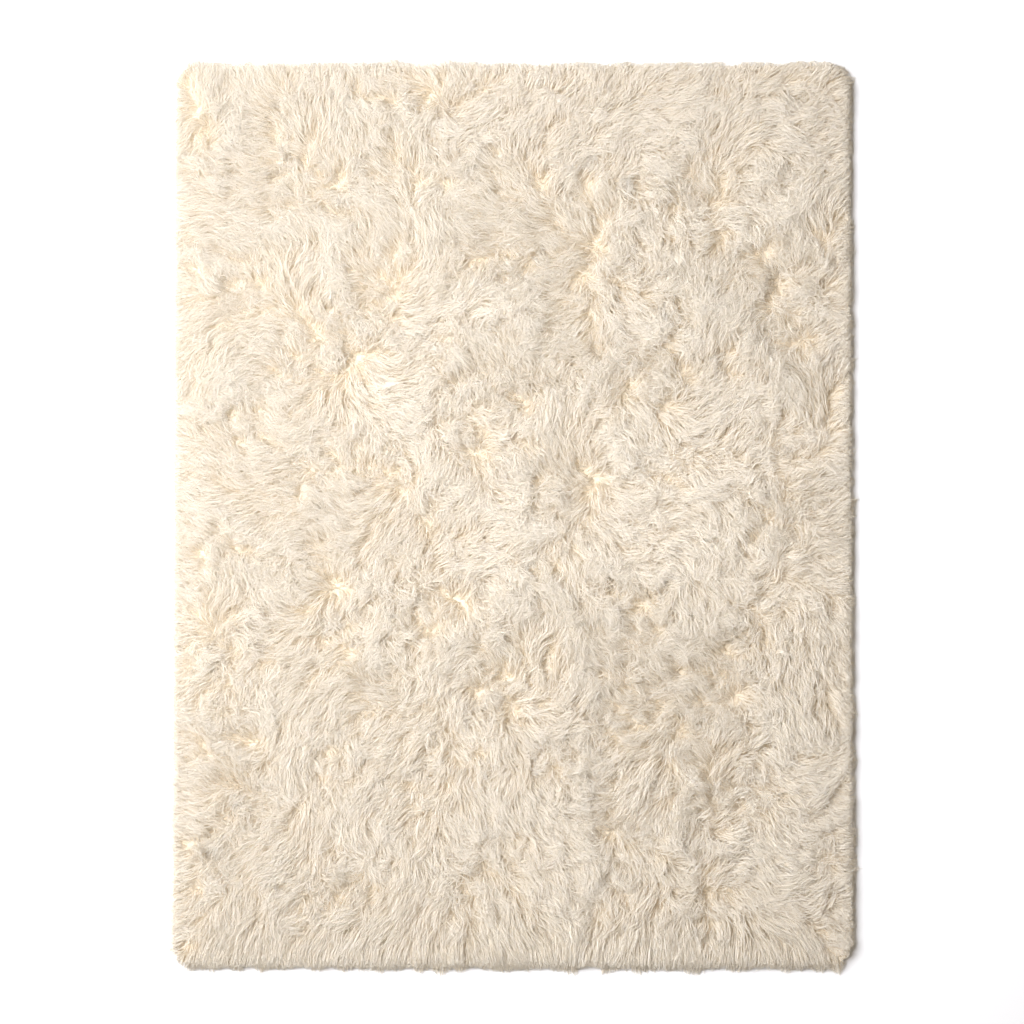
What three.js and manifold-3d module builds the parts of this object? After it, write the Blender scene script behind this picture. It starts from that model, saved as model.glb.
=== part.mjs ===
// Long-pile area rug: a sewn sandwich of sheet layers under a deep fur pile.
// Millimetres, +Z up. The origin is on the floor under the middle of the rug,
// +Y runs along its length and +X across its width.

import * as THREE from 'three';
import { mergeVertices } from 'three/addons/utils/BufferGeometryUtils.js';
import Module from 'manifold-3d';

const wasm = await Module();
wasm.setup();

// Cut size of the cloth layers
const backingWidth = 1200;
const backingLength = 1600;
const backingCornerRadius = 36;
const cornerSteps = 10;

// Thickness of each layer, from the floor up
const gripDotHeight = 1.8;
const baseClothThickness = 1.0;
const foamThickness = 6.0;
const latexThickness = 0.6;
const groundClothThickness = 1.2;
const layerGap = 0.3;

// Pile: its height over the ground cloth, and how it hangs over the edge
const pileHeight = 43;
const pileSpill = 20;
const pileFloorGap = 3;
const pileRounding = 14;
const pileRoundingSteps = 6;
const pileClearance = 0.3;

// Tape folded round the edge of the layers, and the lockstitch through it
const tapeThickness = 0.7;
const tapeTopReach = 12;
const tapeUnderReach = 22;
const tapeClearance = 0.3;
const seamInset = 9;
const threadWidth = 1.0;
const threadHeight = 0.6;
const threadClearance = 0.3;

// Anti-slip dots keep this far inside the tape
const gripMargin = 3;

// Blank care label and the bar tack that holds it
const labelWidth = 30;
const labelLength = 45;
const labelThickness = 0.5;
const labelFromCorner = 90;
const labelClearance = 2;
const tackWidth = 22;
const tackDepth = 2.5;
const tackInset = 3;
const tackHeight = 0.4;

// Heights of the layers' lower faces
const baseClothBottom = gripDotHeight + layerGap;
const foamBottom = baseClothBottom + baseClothThickness + layerGap;
const latexBottom = foamBottom + foamThickness + layerGap;
const groundClothBottom = latexBottom + latexThickness + layerGap;
const groundClothTop = groundClothBottom + groundClothThickness;
const tapeTop = groundClothTop + tapeClearance + tapeThickness;
const tapeBottom = baseClothBottom - tapeClearance - tapeThickness;
const labelBottom = baseClothBottom - layerGap - labelThickness;

/** A plan outline: the backing's rounded rectangle, grown (or shrunk) by `grow` on every side. */
function backingOutline(grow) {
  const halfWidth = backingWidth / 2 + grow;
  const halfLength = backingLength / 2 + grow;
  const radius = Math.max(backingCornerRadius + grow, 1);
  const shape = new THREE.Shape();
  shape.absarc(halfWidth - radius, halfLength - radius, radius, 0, Math.PI / 2);
  shape.absarc(radius - halfWidth, halfLength - radius, radius, Math.PI / 2, Math.PI);
  shape.absarc(radius - halfWidth, radius - halfLength, radius, Math.PI, Math.PI * 1.5);
  shape.absarc(halfWidth - radius, radius - halfLength, radius, Math.PI * 1.5, Math.PI * 2);
  shape.closePath();
  return shape;
}

/** A flat layer with the backing's outline, from `bottom` up by `thickness`. */
function layer(grow, bottom, thickness) {
  const options = { depth: thickness, bevelEnabled: false, curveSegments: cornerSteps };
  return new THREE.ExtrudeGeometry(backingOutline(grow), options).translate(0, 0, bottom);
}

/** A flat loop that follows the backing's edge, between two outlines. */
function edgeLoop(outerGrow, innerGrow, bottom, thickness) {
  const shape = backingOutline(outerGrow);
  shape.holes.push(backingOutline(innerGrow));
  const options = { depth: thickness, bevelEnabled: false, curveSegments: cornerSteps };
  return new THREE.ExtrudeGeometry(shape, options).translate(0, 0, bottom);
}

/** Turns a closed geometry into a solid that can be cut. */
function toSolid(geometry) {
  const bare = geometry.clone();
  bare.deleteAttribute('normal');
  bare.deleteAttribute('uv');
  const merged = mergeVertices(bare);
  return new wasm.Manifold(new wasm.Mesh({
    numProp: 3,
    vertProperties: merged.attributes.position.array,
    triVerts: new Uint32Array(merged.index.array),
  }));
}

/** Turns a cut solid back into a geometry. */
function toGeometry(solid) {
  const mesh = solid.getMesh();
  const geometry = new THREE.BufferGeometry();
  geometry.setAttribute('position', new THREE.BufferAttribute(mesh.vertProperties, 3));
  geometry.setIndex(new THREE.BufferAttribute(mesh.triVerts, 1));
  geometry.computeVertexNormals();
  return geometry;
}

/** Cuts each of `tools` out of `geometry`. */
function cut(geometry, ...tools) {
  const cutSolid = tools.reduce((solid, tool) => solid.subtract(toSolid(tool)), toSolid(geometry));
  return toGeometry(cutSolid);
}

/** Middle of the label's area, which hangs inwards from the tape at the front edge. */
function labelCentre() {
  const x = backingWidth / 2 - labelFromCorner - labelWidth / 2;
  const y = -backingLength / 2 + tapeUnderReach + labelClearance + labelLength / 2;
  return { x, y };
}

/** The envelope of the fur: a soft-edged loaf, hollowed underneath for the layers it hangs over. */
function pileGeometry() {
  const bottom = pileFloorGap;
  const top = groundClothTop + layerGap + pileHeight;
  const options = {
    depth: top - bottom - 2 * pileRounding,
    curveSegments: cornerSteps,
    bevelThickness: pileRounding,
    bevelSize: pileRounding,
    bevelSegments: pileRoundingSteps,
  };
  const outline = backingOutline(pileSpill - pileRounding);
  const loaf = new THREE.ExtrudeGeometry(outline, options).translate(0, 0, bottom + pileRounding);
  const edgeGrow = tapeClearance + tapeThickness + pileClearance;
  const layersSpace = layer(edgeGrow, -1, groundClothTop + layerGap + 1);
  const seamTop = tapeTop + threadClearance + threadHeight + pileClearance;
  const seamSpace = edgeLoop(edgeGrow, -tapeTopReach - pileClearance, -1, seamTop + 1);
  return cut(loaf, layersSpace, seamSpace);
}

/** Tape of C section round the edge: a block with the layers' space and two windows cut out. */
function bindingTapeGeometry() {
  const outerGrow = tapeClearance + tapeThickness;
  const block = layer(outerGrow, tapeBottom, tapeTop - tapeBottom);
  const insideHeight = tapeTop - tapeBottom - 2 * tapeThickness;
  const inside = layer(tapeClearance, tapeBottom + tapeThickness, insideHeight);
  const topWindow = layer(-tapeTopReach, groundClothTop, tapeTop);
  const underWindow = layer(-tapeUnderReach, -1, baseClothBottom + 1);
  return cut(block, inside, topWindow, underWindow);
}

/** The dots' layer, with room left for the care label. */
function gripDotsGeometry() {
  const sheet = layer(-tapeUnderReach - gripMargin, 0, gripDotHeight);
  const centre = labelCentre();
  const width = labelWidth + 2 * labelClearance;
  const length = labelLength + 2 * labelClearance;
  const room = new THREE.BoxGeometry(width, length, 4 * gripDotHeight);
  room.translate(centre.x, centre.y, 0);
  return cut(sheet, room);
}

/** One run of stitching round the whole rug, drawn as a flat bead. */
function seamThreadGeometry(bottom) {
  const halfWidth = threadWidth / 2;
  return edgeLoop(-seamInset + halfWidth, -seamInset - halfWidth, bottom, threadHeight);
}

/** A rounded flat label, blank on both faces. */
function careLabelGeometry() {
  const centre = labelCentre();
  const corner = 2;
  const halfWidth = labelWidth / 2;
  const halfLength = labelLength / 2;
  const shape = new THREE.Shape();
  shape.absarc(halfWidth - corner, halfLength - corner, corner, 0, Math.PI / 2);
  shape.absarc(corner - halfWidth, halfLength - corner, corner, Math.PI / 2, Math.PI);
  shape.absarc(corner - halfWidth, corner - halfLength, corner, Math.PI, Math.PI * 1.5);
  shape.absarc(halfWidth - corner, corner - halfLength, corner, Math.PI * 1.5, Math.PI * 2);
  shape.closePath();
  const options = { depth: labelThickness, bevelEnabled: false, curveSegments: 4 };
  return new THREE.ExtrudeGeometry(shape, options).translate(centre.x, centre.y, labelBottom);
}

/** The bar tack across the label's sewn end. */
function labelThreadGeometry() {
  const centre = labelCentre();
  const top = labelBottom - threadClearance;
  const y = centre.y - labelLength / 2 + tackInset + tackDepth / 2;
  const tack = new THREE.BoxGeometry(tackWidth, tackDepth, tackHeight);
  return tack.translate(centre.x, y, top - tackHeight / 2);
}

const furMaterial = new THREE.MeshStandardMaterial({ color: 0xf3e9d6, roughness: 0.85 });
const knitMaterial = new THREE.MeshStandardMaterial({ color: 0xe9ddc6, roughness: 0.9 });
const latexMaterial = new THREE.MeshStandardMaterial({ color: 0xf2efe6, roughness: 0.6 });
const foamMaterial = new THREE.MeshStandardMaterial({ color: 0xefe6c4, roughness: 0.95 });
const baseClothMaterial = new THREE.MeshStandardMaterial({ color: 0xd9cfbd, roughness: 0.95 });
const gripMaterial = new THREE.MeshStandardMaterial({ color: 0xf4f1ea, roughness: 0.5 });
const tapeMaterial = new THREE.MeshStandardMaterial({ color: 0xdccfb6, roughness: 0.85 });
const threadMaterial = new THREE.MeshStandardMaterial({ color: 0xcdbd9f, roughness: 0.6 });
const labelMaterial = new THREE.MeshStandardMaterial({ color: 0xf7f5f0, roughness: 0.4 });

const rug = new THREE.Group();

function addPiece(name, geometry, material) {
  const mesh = new THREE.Mesh(geometry, material);
  mesh.name = name;
  rug.add(mesh);
}

addPiece('pile', pileGeometry(), furMaterial);
addPiece('ground_cloth', layer(0, groundClothBottom, groundClothThickness), knitMaterial);
addPiece('latex_coat', layer(0, latexBottom, latexThickness), latexMaterial);
addPiece('foam_core', layer(0, foamBottom, foamThickness), foamMaterial);
addPiece('base_cloth', layer(0, baseClothBottom, baseClothThickness), baseClothMaterial);
addPiece('grip_dots', gripDotsGeometry(), gripMaterial);
addPiece('binding_tape', bindingTapeGeometry(), tapeMaterial);
addPiece('seam_thread_top', seamThreadGeometry(tapeTop + threadClearance), threadMaterial);
addPiece(
  'seam_thread_under',
  seamThreadGeometry(tapeBottom - threadClearance - threadHeight),
  threadMaterial,
);
addPiece('care_label', careLabelGeometry(), labelMaterial);
addPiece('label_thread', labelThreadGeometry(), threadMaterial);

export default rug;
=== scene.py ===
import math
from types import SimpleNamespace

import bpy
import numpy as np
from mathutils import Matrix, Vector
from mathutils.kdtree import KDTree


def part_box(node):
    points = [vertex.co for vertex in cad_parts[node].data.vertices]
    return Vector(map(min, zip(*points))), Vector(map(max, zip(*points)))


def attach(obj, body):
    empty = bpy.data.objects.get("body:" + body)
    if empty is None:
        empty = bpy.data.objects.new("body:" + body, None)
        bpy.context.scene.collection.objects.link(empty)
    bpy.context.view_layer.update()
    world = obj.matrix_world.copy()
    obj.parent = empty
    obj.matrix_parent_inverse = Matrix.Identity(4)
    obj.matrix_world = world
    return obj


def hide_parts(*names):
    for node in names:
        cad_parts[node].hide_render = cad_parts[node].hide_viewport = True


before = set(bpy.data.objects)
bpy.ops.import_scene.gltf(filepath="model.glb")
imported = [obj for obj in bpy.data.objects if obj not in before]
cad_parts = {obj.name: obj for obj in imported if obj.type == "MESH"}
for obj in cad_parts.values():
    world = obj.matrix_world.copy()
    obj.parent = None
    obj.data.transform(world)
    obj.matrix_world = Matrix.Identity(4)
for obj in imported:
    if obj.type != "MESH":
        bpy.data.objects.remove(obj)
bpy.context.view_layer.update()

MM = 0.001
rng = np.random.default_rng(20)


# ---------------------------------------------------------------- the rug's plan

cloth_low, cloth_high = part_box("ground_cloth")
pile_low, pile_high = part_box("pile")
HALF_WIDTH = cloth_high.x
HALF_LENGTH = cloth_high.y
CLOTH_TOP = cloth_high.z
TAPE_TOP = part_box("binding_tape")[1].z


def corner_radius(node):
    """The radius of a flat layer's corners, from where its straight back edge ends."""
    low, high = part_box(node)
    points = np.array([v.co for v in bpy.data.objects[node].data.vertices])
    on_back_edge = points[points[:, 1] > high.y - 0.01 * MM]
    return high.x - on_back_edge[:, 0].max()


CORNER = corner_radius("ground_cloth")


def edge_distance(xy):
    """How far each spot is outside the cloth's edge (negative inside), and the way out from there."""
    inner = np.array([HALF_WIDTH - CORNER, HALF_LENGTH - CORNER])
    q = np.abs(xy) - inner
    side = np.where(xy >= 0, 1.0, -1.0)
    past = np.maximum(q, 0)
    reach = np.linalg.norm(past, axis=1)
    distance = reach + np.minimum(q.max(1), 0) - CORNER
    nearest = np.zeros_like(q)
    nearest[np.arange(len(q)), q.argmax(1)] = 1
    out = np.where(reach[:, None] > 0, past / np.maximum(reach, 1e-12)[:, None], nearest)
    return distance, out * side


# ---------------------------------------------------------------- smooth variation

class Ripple:
    """A smooth random field over the floor plan, of about one size of bump, mostly from -2 to 2."""

    def __init__(self, size, seed, waves=28):
        draw = np.random.default_rng(seed)
        turn = draw.uniform(0, 2 * math.pi, waves)
        length = size * draw.uniform(0.7, 1.5, waves)
        self.k = 2 * math.pi / length[:, None] * np.stack([np.cos(turn), np.sin(turn)], 1)
        self.phase = draw.uniform(0, 2 * math.pi, waves)
        self.scale = math.sqrt(2 / waves)

    def __call__(self, xy):
        return np.cos(xy @ self.k.T + self.phase).sum(1) * self.scale


def smooth(low, high, x):
    """0 below low and 1 above high, with a soft slope between them."""
    t = np.clip((x - low) / (high - low), 0, 1)
    return t * t * (3 - 2 * t)


# ---------------------------------------------------------------- meshes

def tube_faces(rings, sides, pointed):
    """Faces of a closed tube of rings, whose far end is a point or a flat cap."""
    faces = []
    for k in range(rings - 1):
        for i in range(sides):
            j = (i + 1) % sides
            a, b = k * sides, (k + 1) * sides
            faces.append((a + i, a + j, b + j, b + i))
    last = (rings - 1) * sides
    if pointed:
        faces += [(last + i, last + (i + 1) % sides, last + sides) for i in range(sides)]
    else:
        faces.append(tuple(last + i for i in range(sides)))
    faces.append(tuple(reversed(range(sides))))
    return faces


def link(name, mesh):
    """A new object with this mesh, in the scene."""
    piece = bpy.data.objects.new(name, mesh)
    bpy.context.collection.objects.link(piece)
    return piece


def body(name, points, faces):
    """One piece from its points and faces."""
    mesh = bpy.data.meshes.new(name)
    mesh.from_pydata(np.asarray(points).tolist(), [], np.asarray(faces).tolist())
    return link(name, mesh)


def copies(name, points, faces):
    """One piece of many small closed bodies with the same faces, and the corners of one body's faces."""
    count, per = points.shape[:2]
    corners = np.concatenate(faces)
    sizes = np.tile([len(f) for f in faces], count)
    mesh = bpy.data.meshes.new(name)
    mesh.vertices.add(count * per)
    mesh.vertices.foreach_set("co", points.astype(np.float32).ravel())
    mesh.loops.add(len(corners) * count)
    every = corners[None] + per * np.arange(count)[:, None]
    mesh.loops.foreach_set("vertex_index", every.astype(np.int32).ravel())
    mesh.polygons.add(len(sizes))
    starts = np.concatenate([[0], np.cumsum(sizes)[:-1]])
    mesh.polygons.foreach_set("loop_start", starts.astype(np.int32))
    mesh.polygons.foreach_set("use_smooth", np.ones(len(sizes), dtype=bool))
    mesh.update(calc_edges=True)
    return link(name, mesh), corners


def settle(piece, slot, finish, *nodes):
    """Gives a piece its finish, its body and the plain solids that it stands for; its slot is not used."""
    piece.data.validate()
    piece.data.materials.append(finish)
    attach(piece, "root")
    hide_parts(*nodes)
    return piece


# ---------------------------------------------------------------- how the fur lies

# Whorls where the fur turns round a centre: x, y, radius, and turn (+1 is anticlockwise)
WHORLS = (
    (-0.46, 0.50, 0.10, 1.0),
    (-0.05, 0.63, 0.11, -1.0),
    (0.14, 0.46, 0.10, 1.0),
    (0.33, 0.42, 0.10, -1.0),
    (-0.16, 0.03, 0.11, 1.0),
    (0.22, -0.10, 0.13, -1.0),
    (0.12, -0.27, 0.10, 1.0),
    (-0.33, 0.18, 0.12, -1.0),
    (-0.20, -0.42, 0.11, 1.0),
    (0.32, -0.46, 0.12, 1.0),
)

# How strongly the fur is turned by the wide drift, the swirls, the tufts, the way out from its middle,
# the whorls and the comb
DRIFT, SWIRL, TUFT, OUTWARD, WHORL, COMB = 0.6, 0.6, 0.35, 0.9, 1.3, 2.2
FUR_MIDDLE = (0.04, 0.12)

drift_x, drift_y = Ripple(0.55, 1), Ripple(0.55, 2)
swirl_x, swirl_y = Ripple(0.2, 3), Ripple(0.2, 4)
tuft_x, tuft_y = Ripple(0.075, 5), Ripple(0.075, 6)
ridge, knot = Ripple(0.11, 7), Ripple(0.17, 8)
edge_wave, notch = Ripple(0.12, 9), Ripple(0.03, 10)


def tangle(xy):
    """From 0 to 1: where the fur is tangled and curly."""
    return smooth(0.2, 1.1, knot(xy))


def ruffle(xy):
    """From 0 to 1: how ruffled the fur is. It lies smooth at the back left, and rough at the front right."""
    across = 0.55 * xy[:, 0] / HALF_WIDTH - 0.45 * xy[:, 1] / HALF_LENGTH
    return smooth(-0.75, 0.75, across + 0.25 * knot(xy))


def comb_reach(out):
    """How far in from each edge the fur is combed straight out: furthest at the front."""
    front, back = np.maximum(-out[:, 1], 0), np.maximum(out[:, 1], 0)
    return (26 + 44 * front - 8 * back) * MM


def lie(xy):
    """The way the fur leans at each spot, as a flat vector whose length says how much it leans."""
    distance, out = edge_distance(xy)
    flow = DRIFT * np.stack([drift_x(xy), drift_y(xy)], 1)
    flow += SWIRL * np.stack([swirl_x(xy), swirl_y(xy)], 1)
    flow += TUFT * np.stack([tuft_x(xy), tuft_y(xy)], 1)
    flow += OUTWARD * (xy - FUR_MIDDLE) / np.array([HALF_WIDTH, HALF_LENGTH])
    for x, y, radius, turn in WHORLS:
        arm = (xy - (x, y)) / radius
        near = np.exp(-(arm ** 2).sum(1))[:, None]
        flow += WHORL * turn * near * np.stack([-arm[:, 1], arm[:, 0]], 1)
    combed = np.exp(-np.maximum(-distance, 0) / comb_reach(out))[:, None]
    combed = np.clip(1.35 * combed, 0, 1)
    return flow * (1 - combed) + COMB * out * combed


# ---------------------------------------------------------------- strands

LOCK_SPACING = 21 * MM
WISP_SPACING = 4.8 * MM
STRANDS_PER_WISP = 2
FILLER_SPACING = 6.6 * MM
STRAND_LENGTH = 50 * MM
STRAND_WIDTH = 1.25 * MM
TALLEST = 46 * MM
STRAYS = 0.06
ROOT_INSET = 1 * MM
RIM_WIDTH = 16 * MM
# Where along a strand its rings of points are
STEPS = np.array([0, 0.42, 0.74, 1.0])


def honeycomb(spacing):
    """Evenly spaced spots all over the cloth, and a little past it."""
    row = spacing * math.sqrt(3) / 2
    columns = int(2 * HALF_WIDTH / spacing) + 3
    rows = int(2 * HALF_LENGTH / row) + 3
    i, j = np.meshgrid(np.arange(columns), np.arange(rows))
    x = (i + 0.5 * (j % 2)) * spacing - HALF_WIDTH - spacing
    y = j * row - HALF_LENGTH - row
    return np.stack([x.ravel(), y.ravel()], 1)


def scatter(spacing):
    """The same spots, shaken out of line."""
    xy = honeycomb(spacing)
    return xy + rng.uniform(-0.5, 0.5, xy.shape) * spacing


def nearest(spots, others):
    """For each spot, which of the others is nearest."""
    tree = KDTree(len(others))
    for index, (x, y) in enumerate(others):
        tree.insert((x, y, 0), index)
    tree.balance()
    return np.array([tree.find((x, y, 0))[1] for x, y in spots])


def edge_roots(count):
    """Extra spots close inside the edge, so that the fringe is full."""
    tries = count * 60
    xy = rng.uniform(-1, 1, (tries, 2)) * (HALF_WIDTH, HALF_LENGTH)
    distance = edge_distance(xy)[0]
    xy = xy[(distance < -ROOT_INSET) & (distance > -RIM_WIDTH)]
    return xy[:count]


def grow(roots, turn, length, rise_start, rise_end, bend, wave, phase):
    """Follows each strand from its root: its points, in the plan and in height over the cloth."""
    middle = (STEPS[1:] + STEPS[:-1]) / 2
    step = np.diff(STEPS)[None] * length[:, None]
    rise = rise_start[:, None] + (rise_end - rise_start)[:, None] * middle[None] ** 0.8
    heading = turn[:, None] + bend[:, None] * (middle - 0.3)[None]
    heading = heading + wave[:, None] * np.sin(2 * math.pi * (middle[None] + phase[:, None]))
    dx = step * np.cos(rise) * np.cos(heading)
    dy = step * np.cos(rise) * np.sin(heading)
    dz = step * np.sin(rise)
    path = np.zeros((len(roots), len(STEPS), 3))
    path[:, 0, :2] = roots
    path[:, 1:] = np.cumsum(np.stack([dx, dy, dz], 2), 1) + path[:, :1]
    return path


# The fur at the rug's edge: where it starts to bend, how high it is there, how wide its round is, where the
# tape lies, over how wide a run it falls to the hem, and how low the hem and any strand may be
EDGE_BEND = 10 * MM
EDGE_HEIGHT = 0.6
EDGE_ROUNDING = 9 * MM
TAPE_INNER = -13 * MM
TAPE_OUTER = 1 * MM
FALL_WIDTH = 12 * MM
HEM_HEIGHT = 2.4 * MM
LOWEST = 1.2 * MM


def hang_over_edge(path, droop, reach):
    """Lays the strands over the rug's edge: past it they bend down by their droop and out by their reach,
    and what lies outside the tape falls to the hem, close over the floor."""
    flat = path.reshape(-1, 3)
    most, reach = np.repeat(np.stack([droop, reach]), path.shape[1], axis=1)
    distance, out = edge_distance(flat[:, :2])
    height = TALLEST * np.tanh(flat[:, 2] / TALLEST)
    height = height * (EDGE_HEIGHT + (1 - EDGE_HEIGHT) * smooth(0, 70 * MM, -distance))
    past = np.maximum(distance + EDGE_BEND, 0)
    bent = past > 0
    angle = most * (1 - np.exp(-past / ((CLOTH_TOP + EDGE_ROUNDING) * most)))
    beside = flat[:, :2] - distance[:, None] * out
    wavy = 1 + 0.13 * edge_wave(beside) + 0.15 * notch(beside)
    out_by = reach * (CLOTH_TOP + height * wavy) * np.sin(angle) - EDGE_BEND
    drop = CLOTH_TOP * (1 - np.cos(angle)) + height * (1 - np.cos(angle))
    fallen = smooth(0, FALL_WIDTH, out_by - TAPE_OUTER)
    hem = HEM_HEIGHT * reach
    laid = flat.copy()
    laid[:, 2] = height + np.where(distance > TAPE_INNER, TAPE_TOP, CLOTH_TOP)
    shift = (out_by - distance)[:, None] * out
    laid[bent, :2] += shift[bent]
    laid[bent, 2] -= drop[bent]
    laid[:, 2] += bent * fallen * (hem - laid[:, 2])
    laid[:, 2] = np.maximum(laid[:, 2], LOWEST)
    return laid.reshape(path.shape)


def bearing(lean):
    """The compass angle of each flat vector."""
    return np.arctan2(lean[:, 1], lean[:, 0])


def weakness(lean):
    """From 0 to 1: how weak the lean is. Where it is weak, the fur may point anywhere."""
    return 1 - smooth(0.15, 0.9, np.linalg.norm(lean, axis=1))


def plan_locks():
    """Every lock: its root, its course, and what its strands have in common."""
    root = scatter(LOCK_SPACING)
    many = len(root)
    distance, out = edge_distance(root)
    inside = -distance
    lean = lie(root)
    unsure, rough = weakness(lean), ruffle(root)
    curl = np.maximum(tangle(root), unsure) * smooth(20 * MM, 70 * MM, inside)
    combed = 1 - smooth(5 * MM, 60 * MM, inside)
    front = np.maximum(-out[:, 1], 0) * (1 - smooth(45 * MM, 105 * MM, inside))
    loose = 1 - 0.7 * np.maximum(combed, 1.25 * front)
    flat = smooth(0.2, 1.6, np.linalg.norm(lean, axis=1))

    turn_noise = 0.22 + 0.22 * rough + 0.4 * curl + 0.7 * unsure
    turn = bearing(lean) + loose * rng.normal(0, turn_noise, many)
    length = STRAND_LENGTH * (1 + 0.07 * ridge(root)) * rng.uniform(0.93, 1.06, many)
    length = length * (1 - 0.2 * curl + 0.2 * unsure) * (1 + 0.45 * front)
    rise_start = np.radians(76 - 10 * flat - 14 * front + rng.normal(0, 2 + 2 * rough, many))
    rise_end = np.radians(2 * rough - 10 * flat - 8 * front + rng.normal(0, 2 + 5 * rough, many) - 6 * curl)
    bend = loose * rng.normal(0, 0.7 + 1.3 * curl, many)
    wave = loose * rng.uniform(0.1, 0.4 + 0.5 * curl, many)
    phase = rng.uniform(0, 1, many)
    tone = rng.random(many)
    droop = rng.uniform(50, 80, many)
    reach = rng.uniform(0.85, 1.2, many)
    guide = grow(root, turn, length, rise_start, rise_end, bend, wave, phase)
    return SimpleNamespace(
        root=root, turn=turn, length=length, rise_start=rise_start, rise_end=rise_end, bend=bend,
        wave=wave, phase=phase, tone=tone, droop=droop, reach=reach, guide=guide,
        unsure=unsure, rough=rough, front=front,
    )


def plan_wisps(locks):
    """Every wisp: its root, its lock, its own course, and a guide that is drawn in towards its lock's."""
    root = scatter(WISP_SPACING)
    root = np.concatenate([root[edge_distance(root)[0] < -ROOT_INSET], edge_roots(1200)])
    many = len(root)
    lock = nearest(root, locks.root)
    rough, front = locks.rough[lock], locks.front[lock]
    free = 1 - 0.6 * front

    own_turn = bearing(lie(root))
    swing = locks.turn[lock] - own_turn
    swing = np.arctan2(np.sin(swing), np.cos(swing))
    turn = own_turn + 0.85 * swing + free * rng.normal(0, 0.17 + 0.35 * locks.unsure[lock], many)
    length = locks.length[lock] * rng.uniform(0.84, 1.1, many)
    rise_start = locks.rise_start[lock] + rng.normal(0, 0.03 + 0.05 * rough, many)
    rise_end = locks.rise_end[lock] + rng.normal(0, 0.04 + 0.1 * rough, many)
    bend = locks.bend[lock] + free * rng.normal(0, 0.3, many)
    guide = grow(root, turn, length, rise_start, rise_end, bend, locks.wave[lock], locks.phase[lock])
    gather = (0.04 + 0.2 * rough + 0.5 * front)[:, None] * smooth(0.1, 1, STEPS)
    guide[:, :, :2] += gather[:, :, None] * (locks.guide[lock][:, :, :2] - guide[:, :, :2])
    return SimpleNamespace(
        root=root, lock=lock, turn=turn, length=length, rise_start=rise_start, rise_end=rise_end,
        bend=bend, guide=guide,
    )


def wisp_strands(locks, wisps):
    """The strands of every wisp: their points, their tones and the wisps' roots."""
    each = np.repeat(np.arange(len(wisps.root)), STRANDS_PER_WISP)
    lock = wisps.lock[each]
    rough = locks.rough[lock]
    many = len(each)
    spread = rng.normal(0, 0.4, (many, 2)) * WISP_SPACING
    own = grow(
        wisps.root[each] + spread,
        wisps.turn[each] + rng.normal(0, 0.11, many),
        wisps.length[each] * rng.uniform(0.8, 1.06, many),
        wisps.rise_start[each] + rng.normal(0, 0.06, many),
        wisps.rise_end[each] + rng.normal(0, 0.05 + 0.08 * rough, many),
        wisps.bend[each] + rng.normal(0, 0.25, many),
        locks.wave[lock],
        locks.phase[lock],
    )
    stray = rng.random(many) < STRAYS
    pull = np.where(stray, 0.0, rng.uniform(0.1, 0.4, many) + 0.25 * rough)
    draw_in = pull[:, None] * smooth(0.05, 0.95, STEPS)[None]
    path = own + draw_in[:, :, None] * (wisps.guide[each] - own)
    droop = np.radians(np.clip(locks.droop[lock] + rng.normal(0, 9, many), 45, 100))
    reach = locks.reach[lock] * rng.uniform(0.9, 1.08, many)
    path = hang_over_edge(path, droop, reach)
    tone = 0.25 * locks.tone[lock] + 0.25 * rng.random(len(wisps.root))[each] + 0.5 * rng.random(many)
    return path, tone, wisps.root[each]


def filler():
    """Shorter upright strands between the locks, so that no cloth shows where the locks part."""
    root = scatter(FILLER_SPACING)
    root = root[edge_distance(root)[0] < -ROOT_INSET]
    many = len(root)
    lean = lie(root)
    turn = bearing(lean) + rng.normal(0, 0.9, many)
    path = grow(
        root,
        turn,
        STRAND_LENGTH * rng.uniform(0.42, 0.64, many) * (1 + 0.5 * weakness(lean)),
        np.radians(rng.normal(82, 4, many)),
        np.radians(rng.normal(34, 14, many)),
        rng.normal(0, 0.8, many),
        rng.uniform(0.1, 0.6, many),
        rng.uniform(0, 1, many),
    )
    droop = np.radians(rng.uniform(70, 100, many))
    return hang_over_edge(path, droop, np.full(many, 0.85)), root


def strand_paths():
    """Every strand's points, with the tone, the width and the home of each."""
    locks = plan_locks()
    path, tone, home = wisp_strands(locks, plan_wisps(locks))
    filler_path, filler_home = filler()
    path = np.concatenate([path, filler_path])
    tone = np.concatenate([tone, rng.uniform(0.1, 0.8, len(filler_path))])
    width = STRAND_WIDTH * rng.uniform(0.75, 1.2, len(path))
    return path, tone, width, np.concatenate([home, filler_home])


SIDES = 3


def crease(piece, per_strand):
    """Makes each strand's ridges and the rim of its root sharp, so that its sides stay distinct."""
    ends = np.empty(2 * len(piece.data.edges), dtype=np.int32)
    piece.data.edges.foreach_get("vertices", ends)
    ring = (ends % per_strand // SIDES).reshape(-1, 2)
    sharp = (ring[:, 0] != ring[:, 1]) | (ring[:, 0] == 0)
    piece.data.attributes.new("sharp_edge", "BOOLEAN", "EDGE").data.foreach_set("value", sharp)


def map_tone(piece, corners, rings, tone):
    """The finish's map: across it the tone of each strand, and up it the place along the strand."""
    layer = piece.data.uv_layers.new(name="OFBake", do_init=False)
    ring_of = np.minimum(corners // SIDES, rings)
    sideways = np.where(corners == rings * SIDES, 1, corners % SIDES) - 1
    u = 0.01 + 0.98 * tone[:, None] + 0.004 * sideways[None]
    uv = np.stack([u, np.broadcast_to(0.005 + 0.99 * STEPS[ring_of], u.shape)], 2)
    layer.uv.foreach_set("vector", uv.astype(np.float32).ravel())


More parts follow.
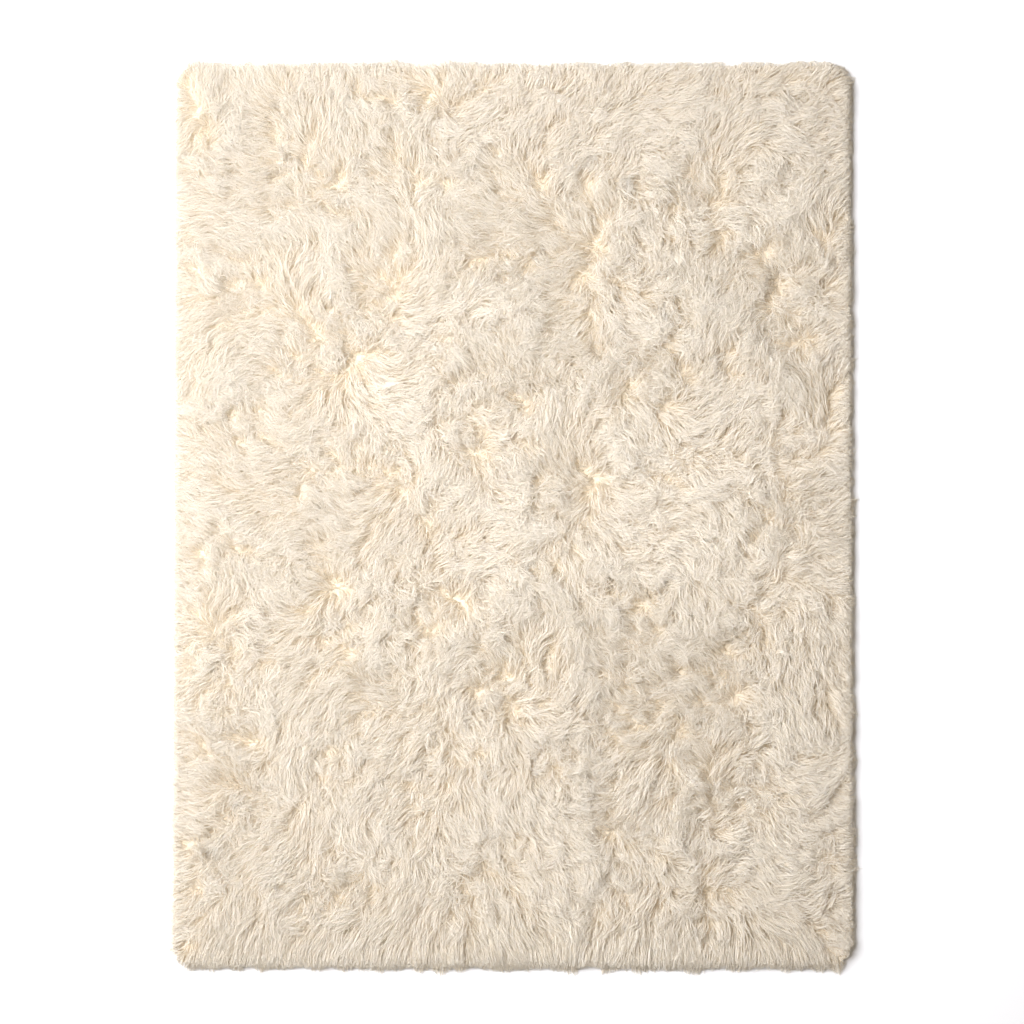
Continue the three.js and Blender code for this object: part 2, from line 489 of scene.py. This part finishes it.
def strand_mesh(name, path, tone, width):
    """One mesh of closed tapered three-sided strands."""
    count, rings = len(path), path.shape[1] - 1
    along = np.empty_like(path)
    along[:, 1:-1] = path[:, 2:] - path[:, :-2]
    along[:, 0] = path[:, 1] - path[:, 0]
    along[:, -1] = path[:, -1] - path[:, -2]
    along /= np.maximum(np.linalg.norm(along, axis=2, keepdims=True), 1e-9)
    across = np.stack([-along[..., 1], along[..., 0], np.zeros(along.shape[:2])], 2)
    across /= np.maximum(np.linalg.norm(across, axis=2, keepdims=True), 1e-6)
    up = np.cross(along, across)
    taper = 1 - 0.82 * STEPS[:-1] ** 1.7
    half = (width[:, None] * taper[None] / 2)[:, :, None, None]
    spin = np.radians(90) + np.arange(SIDES) * 2 * math.pi / SIDES
    spin = spin[None] + rng.uniform(-0.5, 0.5, count)[:, None]
    c, s = np.cos(spin)[:, None, :, None], np.sin(spin)[:, None, :, None]
    ring = path[:, :-1, None] + half * (across[:, :-1, None] * c + 0.8 * up[:, :-1, None] * s)
    points = np.concatenate([ring.reshape(count, -1, 3), path[:, -1:]], 1)
    piece, corners = copies(name, points, tube_faces(rings, SIDES, pointed=True))
    crease(piece, points.shape[1])
    map_tone(piece, corners, rings, tone)
    return piece


# ---------------------------------------------------------------- cloths and foam

def to_outline(xy, radius):
    """Moves the spots of a square-cornered grid so that its corners become round."""
    inner = np.array([HALF_WIDTH - CORNER, HALF_LENGTH - CORNER])
    side = np.where(xy >= 0, 1.0, -1.0)
    q = np.abs(xy) - inner
    in_corner = (q > 0).all(1)
    long = np.maximum(np.linalg.norm(q, axis=1), 1e-9)
    pulled = inner + q * (q.max(1) / long)[:, None] * radius / CORNER
    return np.where(in_corner[:, None], pulled * side, xy)


def cells(half):
    """Grid lines across one direction, closer together in the round corners."""
    middle = np.linspace(CORNER - half, half - CORNER, int(half / (13 * MM)))
    corner = np.linspace(0, CORNER, 8)[1:]
    return np.concatenate([-half + CORNER - corner[::-1], middle, half - CORNER + corner])


def slab(name, node, wave, swell=0.0):
    """A closed flat layer in its node's place, gently uneven, with an edge that may swell."""
    low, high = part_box(node)
    x, y = cells(HALF_WIDTH), cells(HALF_LENGTH)
    gx, gy = np.meshgrid(x, y)
    xy = to_outline(np.stack([gx.ravel(), gy.ravel()], 1), CORNER)
    inside = smooth(0, 25 * MM, -edge_distance(xy)[0])
    uneven = wave * inside * Ripple(0.06, 41)(xy)
    top = np.column_stack([xy, high.z + uneven])
    bottom = np.column_stack([xy, low.z + uneven])
    nx, ny = len(x), len(y)
    grid = np.arange(nx * ny).reshape(ny, nx)
    quads = np.stack([grid[:-1, :-1], grid[:-1, 1:], grid[1:, 1:], grid[1:, :-1]], 2).reshape(-1, 4)
    under = quads[:, ::-1] + nx * ny
    rim = np.concatenate([grid[0, :-1], grid[:-1, -1], grid[-1, :0:-1], grid[:0:-1, 0]])
    middle = (top[rim] + bottom[rim]) / 2
    middle[:, :2] += swell * edge_distance(middle[:, :2])[1]
    on_middle = 2 * nx * ny + np.arange(len(rim))
    after, middle_after = np.roll(rim, -1), np.roll(on_middle, -1)
    upper = np.stack([rim, on_middle, middle_after, after], 1)
    lower = np.stack([on_middle, rim + nx * ny, after + nx * ny, middle_after], 1)
    faces = np.concatenate([quads, under, upper, lower])
    return body(name, np.concatenate([top, bottom, middle]), faces)


# ---------------------------------------------------------------- binding and stitches

def edge_run(step):
    """Places along the backing's edge, evenly spaced, the way out at each, and the whole run's length."""
    arc = CORNER * math.pi / 2
    straights = 2 * (HALF_LENGTH - CORNER), 2 * (HALF_WIDTH - CORNER)
    sides = (straights[0], arc, straights[1], arc) * 2
    total = sum(sides)
    count = round(total / step)
    run = np.arange(count) * total / count
    spots, out = np.zeros((count, 2)), np.zeros((count, 2))
    start, heading = np.array([HALF_WIDTH, CORNER - HALF_LENGTH]), math.pi / 2
    begin = 0.0
    for index, length in enumerate(sides):
        here = (run >= begin) & (run < begin + length)
        t = run[here] - begin
        right = np.array([math.sin(heading), -math.cos(heading)])
        forward = np.array([math.cos(heading), math.sin(heading)])
        if index % 2 == 0:
            spots[here] = start + t[:, None] * forward
            out[here] = right
            start = start + length * forward
        else:
            centre = start - CORNER * right
            angle = math.atan2(right[1], right[0]) + t / CORNER
            out[here] = np.stack([np.cos(angle), np.sin(angle)], 1)
            spots[here] = centre + CORNER * out[here]
            heading += math.pi / 2
            start = centre + CORNER * np.array([math.sin(heading), -math.cos(heading)])
        begin += length
    return spots, out, total


def tape_section():
    """The tape's folded section: places outwards from the backing's edge, and heights."""
    low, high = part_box("binding_tape")
    thickness, rounding, steps = 0.7 * MM, 1.6 * MM, 5
    outer = high.x - HALF_WIDTH
    top_reach, under_reach = 12 * MM, 22 * MM
    turn = np.linspace(math.pi / 2, -math.pi / 2, 2 * steps)
    section = []
    for inset, order in ((0, 1), (thickness, -1)):
        radius = rounding - inset
        upper, lower = high.z - rounding, low.z + rounding
        bend = [(outer - rounding + radius * math.cos(a),
                 (upper if a > 0 else lower) + radius * math.sin(a)) for a in turn]
        line = [(-top_reach, high.z - inset), (-top_reach / 2, high.z - inset)] + bend
        line += [(-under_reach / 2, low.z + inset), (-under_reach, low.z + inset)]
        section += line[::order]
    return np.array(section)


def binding():
    """The tape folded round the whole edge, one closed loop, with its flat width and its length."""
    section = tape_section()
    spots, out, length = edge_run(9 * MM)
    sway = 0.12 * MM * np.sin(np.arange(len(spots)) * 2.4)
    ring = np.zeros((len(spots), len(section), 3))
    ring[:, :, :2] = spots[:, None] + out[:, None] * section[None, :, :1]
    ring[:, :, 2] = section[None, :, 1]
    ring[:, :, :2] += (out * sway[:, None])[:, None] * (section[None, :, :1] < -11 * MM)
    points = ring.reshape(-1, 3)
    rows, per = len(spots), len(section)
    place = np.arange(rows * per).reshape(rows, per)
    nxt, side = np.roll(place, -1, 0), np.roll(place, -1, 1)
    quads = np.stack([place, side, np.roll(nxt, -1, 1), nxt], 2).reshape(-1, 4)
    piece = body("edge_binding", points, quads)
    step_along = np.diff(section[: len(section) // 2], axis=0)
    return piece, np.linalg.norm(step_along, axis=1).sum(), length


def stitches(name, middles, forward, length, thickness, height, up):
    """A row of thread stitches: each rises out of the cloth, lies along it and goes in again."""
    rings, sides = 4, 5
    t = np.linspace(-0.5, 0.5, rings)
    arch = height * (1 - (2 * t) ** 2) * up
    size = thickness / 2 * np.array([0.5, 1, 1, 0.5])
    spin = np.arange(sides) * 2 * math.pi / sides
    across = np.stack([-forward[:, 1], forward[:, 0]], 1)
    points = np.zeros((len(middles), rings, sides, 3))
    points += middles[:, None, None]
    points[..., :2] += forward[:, None, None] * (t * length)[None, :, None, None]
    points[..., :2] += across[:, None, None] * (size[:, None] * np.cos(spin))[None, :, :, None]
    points[..., 2] += arch[None, :, None] + size[None, :, None] * 0.75 * np.sin(spin)
    return copies(name, points.reshape(len(middles), -1, 3), tube_faces(rings, sides, False))[0]


def lockstitch(name, node, up):
    """Lockstitches round the rug, a little inside the edge, on the upper or the under side."""
    low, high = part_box(node)
    inset = HALF_WIDTH - high.x + 0.5 * MM
    spots, out, _ = edge_run(4 * MM)
    forward = np.stack([-out[:, 1], out[:, 0]], 1)
    lean = 0.07
    slanted = forward * math.cos(lean) + out * math.sin(lean)
    base = low.z if up > 0 else high.z
    middles = np.column_stack([spots - inset * out, np.full(len(spots), base)])
    return stitches(name, middles, slanted, 3.7 * MM, 0.8 * MM, 0.32 * MM, up)


def bar_tack():
    """Close zigzag stitches across the label's sewn end."""
    low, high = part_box("label_thread")
    count = 19
    x = np.linspace(low.x + 0.6 * MM, high.x - 0.6 * MM, count)
    middles = np.column_stack([x, np.full(count, (low.y + high.y) / 2), np.full(count, high.z)])
    slant = np.where(np.arange(count) % 2, 0.25, -0.25)
    forward = np.stack([np.sin(slant), np.cos(slant)], 1)
    return stitches("label_tack", middles, forward, 2.4 * MM, 0.55 * MM, 0.15 * MM, -1)


def label():
    """A blank satin label, folded once, hanging from its sewn end, with its flat size."""
    low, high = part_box("care_label")
    leaf, steps = 0.19 * MM, 6
    height, middle = high.z - low.z, (high.z + low.z) / 2
    start, fold = low.y, high.y - height / 2
    turn = np.linspace(math.pi / 2, -math.pi / 2, steps)
    outer = [(fold + height / 2 * math.cos(a), middle + height / 2 * math.sin(a)) for a in turn]
    reach = height / 2 - leaf
    inner = [(fold + reach * math.cos(a), middle + reach * math.sin(a)) for a in turn]
    run = np.linspace(start, fold, 12)[:-1]
    section = [(y, high.z) for y in run] + outer + [(y, low.z) for y in run[::-1]]
    section += [(y, low.z + leaf) for y in run] + inner[::-1] + [(y, high.z - leaf) for y in run[::-1]]
    section = np.array(section)
    x = np.linspace(low.x, high.x, 9)
    points = np.zeros((len(x), len(section), 3))
    points[:, :, 0] = x[:, None]
    points[:, :, 1:] = section[None]
    bow = 0.05 * MM * np.sin((section[:, 0] - start) * 2 * math.pi / (21 * MM))
    points[:, :, 2] += bow[None] * np.sin(math.pi * (x - low.x) / (high.x - low.x))[:, None]
    faces = [tuple(reversed(f)) for f in tube_faces(len(x), len(section), False)]
    piece = copies("folded_label", points.reshape(1, -1, 3), faces)[0]
    return piece, (high.x - low.x, 2 * (high.y - low.y))


def grip_dots():
    """Moulded dots under the base cloth, in a honeycomb that leaves the label free."""
    low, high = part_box("grip_dots")
    sides = 8
    spots = honeycomb(24 * MM)
    inset = 25 * MM + 3 * MM + 3 * MM
    label_low, label_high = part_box("care_label")
    near = 5 * MM
    on_label = ((spots > (label_low.x - near, label_low.y - near))
                & (spots < (label_high.x + near, label_high.y + near))).all(1)
    spots = spots[(edge_distance(spots)[0] < -inset) & ~on_label]
    profile = ((3.0, high.z + 0.2 * MM), (2.8, high.z * 0.55), (1.7, high.z * 0.14))
    spin = np.arange(sides) * 2 * math.pi / sides
    points = np.zeros((len(spots), len(profile) * sides + 1, 3))
    points[:, :, :2] = spots[:, None]
    for k, (radius, z) in enumerate(profile):
        ring = slice(k * sides, (k + 1) * sides)
        points[:, ring, 0] += radius * MM * np.cos(spin)
        points[:, ring, 1] += radius * MM * np.sin(spin)
        points[:, ring, 2] = z
    points[:, -1, 2] = low.z
    faces = [tuple(reversed(f)) for f in tube_faces(len(profile), sides, True)]
    return copies("moulded_grip_dots", points, faces)[0]


# ---------------------------------------------------------------- shader maths

class Wire:
    """A socket of a node, with the operators that the finishes' expressions use."""

    def __init__(self, nodes, socket):
        self.nodes, self.socket = nodes, socket

    def math(self, operation, *others):
        return self.nodes.node("Math", {"operation": operation}, dict(enumerate((self, *others))))

    def __add__(self, other):
        return self.math("ADD", other)

    def __mul__(self, other):
        return self.math("MULTIPLY", other)

    def sine(self):
        return self.math("SINE")

    def size(self):
        return self.math("ABSOLUTE")

    __radd__, __rmul__ = __add__, __mul__


class Nodes:
    """A tree of nodes, and the one way in which nodes are added to it."""

    def __init__(self, tree):
        self.tree = tree

    def plug(self, socket, value):
        if isinstance(value, Wire):
            self.tree.links.new(value.socket, socket)
        else:
            socket.default_value = value

    def node(self, kind, settings=None, inputs=None, out=0):
        """Adds a node, with its settings first and then its inputs, and gives one of its outputs."""
        node = self.tree.nodes.new("ShaderNode" + kind)
        for key, value in (settings or {}).items():
            if key == "stops":
                fill_ramp(node.color_ramp, value)
            else:
                setattr(node, key, value)
        for key, value in (inputs or {}).items():
            self.plug(node.inputs[key], value)
        return Wire(self, node.outputs[out])

    def split(self, vector):
        """The three parts of a vector."""
        first = self.node("SeparateXYZ", None, {0: vector})
        return [Wire(self, output) for output in first.socket.node.outputs]

    def blend(self, share, below, above):
        """One shader over another, by the share of the one above."""
        return self.node("MixShader", None, {0: share, 1: below, 2: above})

    def ramp(self, place, *stops):
        return self.node("ValToRGB", {"stops": stops}, {"Fac": place})


class Finish(Nodes):
    """One procedural material. Its settings go to the shader's own sockets."""

    def __init__(self, name, **settings):
        self.material = bpy.data.materials.new(name)
        self.material.use_nodes = True
        super().__init__(self.material.node_tree)
        self.shader = self.tree.nodes["Principled BSDF"]
        self.feed(**settings)

    def spot(self):
        """The place on the object, in metres."""
        return self.node("TexCoord", out="Object")

    def noise(self, grain, detail=3.0):
        """Cloudy variation from 0 to 1, with spots of about one grain across, in metres."""
        inputs = {"Vector": self.spot(), "Scale": 1 / grain, "Detail": detail}
        return self.node("TexNoise", None, inputs)

    def multiply(self, colour, shade):
        """One colour times another."""
        settings = {"data_type": "RGBA", "blend_type": "MULTIPLY"}
        return self.node("Mix", settings, {0: 1.0, 6: colour, 7: shade}, out=2)

    def bump(self, height, depth, strength=0.6):
        return self.node("Bump", None, {"Height": height, "Distance": depth, "Strength": strength})

    def glow_through(self, colour, share):
        """Lets a share of the light pass through, as it does in thin fibres."""
        behind = self.node("BsdfTranslucent", None, {"Color": colour})
        both = self.blend(share, Wire(self, self.shader.outputs[0]), behind)
        self.plug(self.tree.nodes["Material Output"].inputs["Surface"], both)

    def feed(self, **sockets):
        for key, value in sockets.items():
            self.plug(self.shader.inputs[key.replace("_", " ")], value)
        return self.material


def fill_ramp(ramp, stops):
    while len(ramp.elements) > 1:
        ramp.elements.remove(ramp.elements[-1])
    ramp.elements[0].position, ramp.elements[0].color = stops[0][0], (*stops[0][1], 1)
    for place, colour in stops[1:]:
        ramp.elements.new(place).color = (*colour, 1)


def waves(place, pitch):
    """A wave from -1 to 1 along one direction, with this many metres from crest to crest."""
    return (place * (2 * math.pi / pitch)).sine()


# ---------------------------------------------------------------- finishes

def fur_finish():
    """Ivory faux fur, each strand a little different in tone, with painted shade: darker and warmer towards
    the roots, deep in the pile where shade falls, and paler towards the lit tips.
    """
    finish = Finish("ivory_fur", Roughness=0.5, Specular_IOR_Level=0.0)
    tone, along, _ = finish.split(finish.node("UVMap", {"uv_map": "OFBake"}))
    # Painted shade along each strand: the colour darkens and warms towards the root, where shade falls deep
    # in the pile, and pales towards the lit tip.
    pale = finish.ramp(
        along,
        (0.0, (0.90, 0.84, 0.73)),
        (0.35, (0.945, 0.90, 0.815)),
        (0.7, (0.98, 0.957, 0.91)),
        (1.0, (0.995, 0.985, 0.965)),
    )
    shade = finish.ramp(
        tone,
        (0.0, (0.93, 0.915, 0.89)),
        (0.5, (0.98, 0.975, 0.965)),
        (1.0, (1.0, 1.0, 1.0)),
    )
    colour = finish.multiply(pale, shade)
    finish.glow_through((0.96, 0.905, 0.78, 1), 0.34)
    return finish.feed(Base_Color=colour)


def knit_finish():
    """The ground cloth: columns of knitted loops."""
    finish = Finish("ivory_knit", Roughness=0.9)
    x, y, _ = finish.split(finish.spot())
    loops = waves(y + 0.0006 * waves(x, 1.8 * MM).size(), 1.5 * MM) * 0.5 + 0.5
    colour = finish.ramp(loops * 0.6 + finish.noise(30 * MM) * 0.4,
                         (0.2, (0.78, 0.68, 0.52)), (0.8, (0.92, 0.84, 0.70)))
    return finish.feed(Base_Color=colour, Normal=finish.bump(loops, 0.4 * MM))


def felt_finish():
    """The base cloth: a needled felt of matted fibres."""
    finish = Finish("sand_needled_felt", Roughness=0.92)
    fibres = finish.noise(1.5 * MM, 6.0)
    colour = finish.ramp(fibres * 0.6 + finish.noise(45 * MM) * 0.4,
                         (0.3, (0.50, 0.44, 0.35)), (0.7, (0.76, 0.70, 0.59)))
    return finish.feed(Base_Color=colour, Normal=finish.bump(fibres, 0.3 * MM))


def twill_finish():
    """The binding tape: fine slanting ribs."""
    finish = Finish("sand_twill_tape", Roughness=0.85)
    x, y, z = finish.split(finish.spot())
    ribs = waves(x + y + z, 1.2 * MM) * 0.5 + 0.5
    colour = finish.ramp(ribs * 0.5 + finish.noise(20 * MM) * 0.5,
                         (0.2, (0.58, 0.49, 0.36)), (0.8, (0.80, 0.72, 0.57)))
    return finish.feed(Base_Color=colour, Normal=finish.bump(ribs, 0.25 * MM))


def foam_finish():
    """Open-cell cushion foam."""
    finish = Finish("cream_foam", Roughness=0.95)
    pores = finish.node("TexVoronoi", None, {"Vector": finish.spot(), "Scale": 900.0})
    colour = finish.ramp(finish.noise(12 * MM), (0.3, (0.80, 0.72, 0.48)), (0.7, (0.90, 0.84, 0.62)))
    return finish.feed(Base_Color=colour, Normal=finish.bump(pores, 0.5 * MM))


def latex_finish():
    """The brushed latex coat that locks the fur's roots."""
    finish = Finish("milky_latex", Specular_IOR_Level=0.4)
    smear = finish.noise(8 * MM, 5.0)
    colour = finish.ramp(smear, (0.3, (0.78, 0.74, 0.64)), (0.7, (0.92, 0.89, 0.80)))
    return finish.feed(Base_Color=colour, Roughness=smear * 0.4 + 0.35,
                       Normal=finish.bump(smear, 0.3 * MM))


def grip_finish():
    """Soft moulded dots that hold the rug to the floor."""
    finish = Finish("milky_grip_rubber", Specular_IOR_Level=0.45)
    cloud = finish.noise(3 * MM)
    colour = finish.ramp(finish.noise(60 * MM), (0.3, (0.80, 0.78, 0.72)), (0.7, (0.90, 0.88, 0.83)))
    return finish.feed(Base_Color=colour, Roughness=cloud * 0.25 + 0.3,
                       Normal=finish.bump(cloud, 0.1 * MM, 0.3))


def thread_finish():
    """Twisted sewing thread."""
    finish = Finish("sand_thread", Roughness=0.6)
    x, y, z = finish.split(finish.spot())
    twist = waves(x + y + z * 2, 0.7 * MM) * 0.5 + 0.5
    colour = finish.ramp(twist, (0.0, (0.46, 0.38, 0.26)), (1.0, (0.72, 0.62, 0.46)))
    return finish.feed(Base_Color=colour, Normal=finish.bump(twist, 0.1 * MM))


def satin_finish():
    """The blank care label's satin, with its fine floats across."""
    finish = Finish("white_satin", Specular_IOR_Level=0.6, Sheen_Weight=0.3)
    _, y, _ = finish.split(finish.spot())
    floats = waves(y, 0.5 * MM) * 0.5 + 0.5
    colour = finish.ramp(finish.noise(9 * MM), (0.3, (0.84, 0.83, 0.80)), (0.7, (0.92, 0.91, 0.88)))
    return finish.feed(Base_Color=colour, Roughness=floats * 0.15 + 0.3,
                       Normal=finish.bump(floats, 0.05 * MM))


def floor_finish():
    """A matte white floor with painted light: it glows more and more with distance from the middle, so that
    it stays pale far beyond the lamp's pool of light.
    """
    finish = Finish("pale_floor", Roughness=0.9, Base_Color=(0.94, 0.94, 0.94, 1), Emission_Strength=1.0)
    # Painted light: an emission that fades in with distance from the middle, in place of lamplight beyond
    # the lamp's pool.
    away = finish.node("VectorMath", {"operation": "LENGTH"}, {0: finish.spot()}, out=1)
    painted_glow = finish.ramp(away * (1 / 6), (0.25, (0.0, 0.0, 0.0)), (0.55, (0.62, 0.63, 0.64)))
    return finish.feed(Emission_Color=painted_glow)


# ---------------------------------------------------------------- pieces

PATCH_TRIANGLES = 190000


def pile():
    """The fur, in patches of equal numbers of strands: first bands across, then parts along each band."""
    path, tone, width, home = strand_paths()
    finish = fur_finish()
    triangles = 2 * SIDES * (len(STEPS) - 2) + SIDES + 1
    most = PATCH_TRIANGLES // triangles
    across = 4
    along = math.ceil(len(path) / most / across)
    bands = np.array_split(np.argsort(home[:, 0], kind="stable"), across)
    parts = []
    for band in bands:
        parts += np.array_split(band[np.argsort(home[band, 1], kind="stable")], along)
    patches = []
    for number, part in enumerate(parts, 1):
        patch = strand_mesh(f"pile_patch_{number:02d}", path[part], tone[part], width[part])
        patches.append(settle(patch, "fur", finish, "pile"))
    return patches


def layers(patches):
    """The cloths, the coat, the foam, the binding and what is sewn or moulded to them."""
    bpy.data.objects["latex_coat"].material_slots[0].material = latex_finish()
    thread = thread_finish()

    ground = slab("knitted_ground", "ground_cloth", 0.04 * MM)
    settle(ground, "knit", knit_finish(), "ground_cloth")

    foam = slab("foam_pad", "foam_core", 0.04 * MM, swell=-0.3 * MM)
    settle(foam, "foam", foam_finish(), "foam_core")

    dots = settle(grip_dots(), "grip", grip_finish(), "grip_dots")
    base = slab("felt_base", "base_cloth", 0.04 * MM)
    settle(base, "base_cloth", felt_finish(), "base_cloth")

    upper = settle(lockstitch("lockstitch_top", "seam_thread_top", 1), "thread", thread, "seam_thread_top")
    lower = lockstitch("lockstitch_under", "seam_thread_under", -1)
    settle(lower, "thread", thread, "seam_thread_under")
    tape, width, length = binding()
    settle(tape, "tape", twill_finish(), "binding_tape")

    tack = settle(bar_tack(), "thread", thread, "label_thread")
    tag, tag_size = label()
    settle(tag, "label", satin_finish(), "care_label")


# ---------------------------------------------------------------- studio

VIEW_DISTANCE = 4.6
VIEW_TILT = math.radians(1.6)
VIEW_WIDTH = 1.817
FLOOR_HALF = 30


def camera():
    """Looks straight down on the rug, tilted very slightly towards its back."""
    lens = bpy.data.cameras.new("camera")
    lens.sensor_width = 36
    lens.lens = lens.sensor_width * VIEW_DISTANCE / VIEW_WIDTH
    lens.shift_y = 0.001
    eye = bpy.data.objects.new("camera", lens)
    bpy.context.collection.objects.link(eye)
    back = Vector((0, -math.sin(VIEW_TILT), math.cos(VIEW_TILT)))
    eye.location = Vector((0, 0, 0.03)) + back * VIEW_DISTANCE
    eye.rotation_euler = (VIEW_TILT, 0, 0)
    bpy.context.scene.camera = eye


def floor():
    """The studio's wide floor, which is no part of the rug."""
    s = FLOOR_HALF
    plane = body("floor", [(-s, -s, 0), (s, -s, 0), (s, s, 0), (-s, s, 0)], [(0, 1, 2, 3)])
    plane.data.materials.append(floor_finish())


def lamp(name, place, aim, size, power, colour):
    """A square soft box, narrowed a little by its grid."""
    data = bpy.data.lights.new(name, "AREA")
    data.size, data.energy, data.color = size, power, colour
    data.spread = math.radians(105)
    light = bpy.data.objects.new(name, data)
    light.location = place
    light.rotation_euler = (Vector(aim) - Vector(place)).to_track_quat("-Z", "Y").to_euler()
    bpy.context.collection.objects.link(light)


def sky():
    """A dim warm sky, a little brighter overhead, in front of a plain pale backdrop."""
    world = bpy.data.worlds.new("studio")
    world.use_nodes = True
    nodes = Nodes(world.node_tree)
    up = nodes.split(nodes.node("TexCoord", out="Generated"))[2]
    heights = {"Value": up, "From Min": 0, "From Max": 1, "To Min": 0.17, "To Max": 0.25}
    brightness = nodes.node("MapRange", None, heights)
    light = nodes.tree.nodes["Background"]
    nodes.plug(light.inputs["Color"], (1, 0.87, 0.70, 1))
    nodes.plug(light.inputs["Strength"], brightness)
    warm = Wire(nodes, light.outputs[0])
    backdrop = nodes.node("Background", None, {"Color": (0.80, 0.80, 0.79, 1)})
    seen = nodes.node("LightPath", out="Is Camera Ray")
    nodes.plug(nodes.tree.nodes["World Output"].inputs["Surface"], nodes.blend(seen, warm, backdrop))
    bpy.context.scene.world = world


def studio():
    camera()
    floor()
    lamp("key", (-1.5, 0.5, 2.3), (0.2, 0.05, 0), 2.4, 80, (0.93, 0.945, 1))
    sky()
    scene = bpy.context.scene
    scene.view_settings.view_transform = "Standard"
    scene.cycles.diffuse_bounces = 8


studio()
layers(pile())
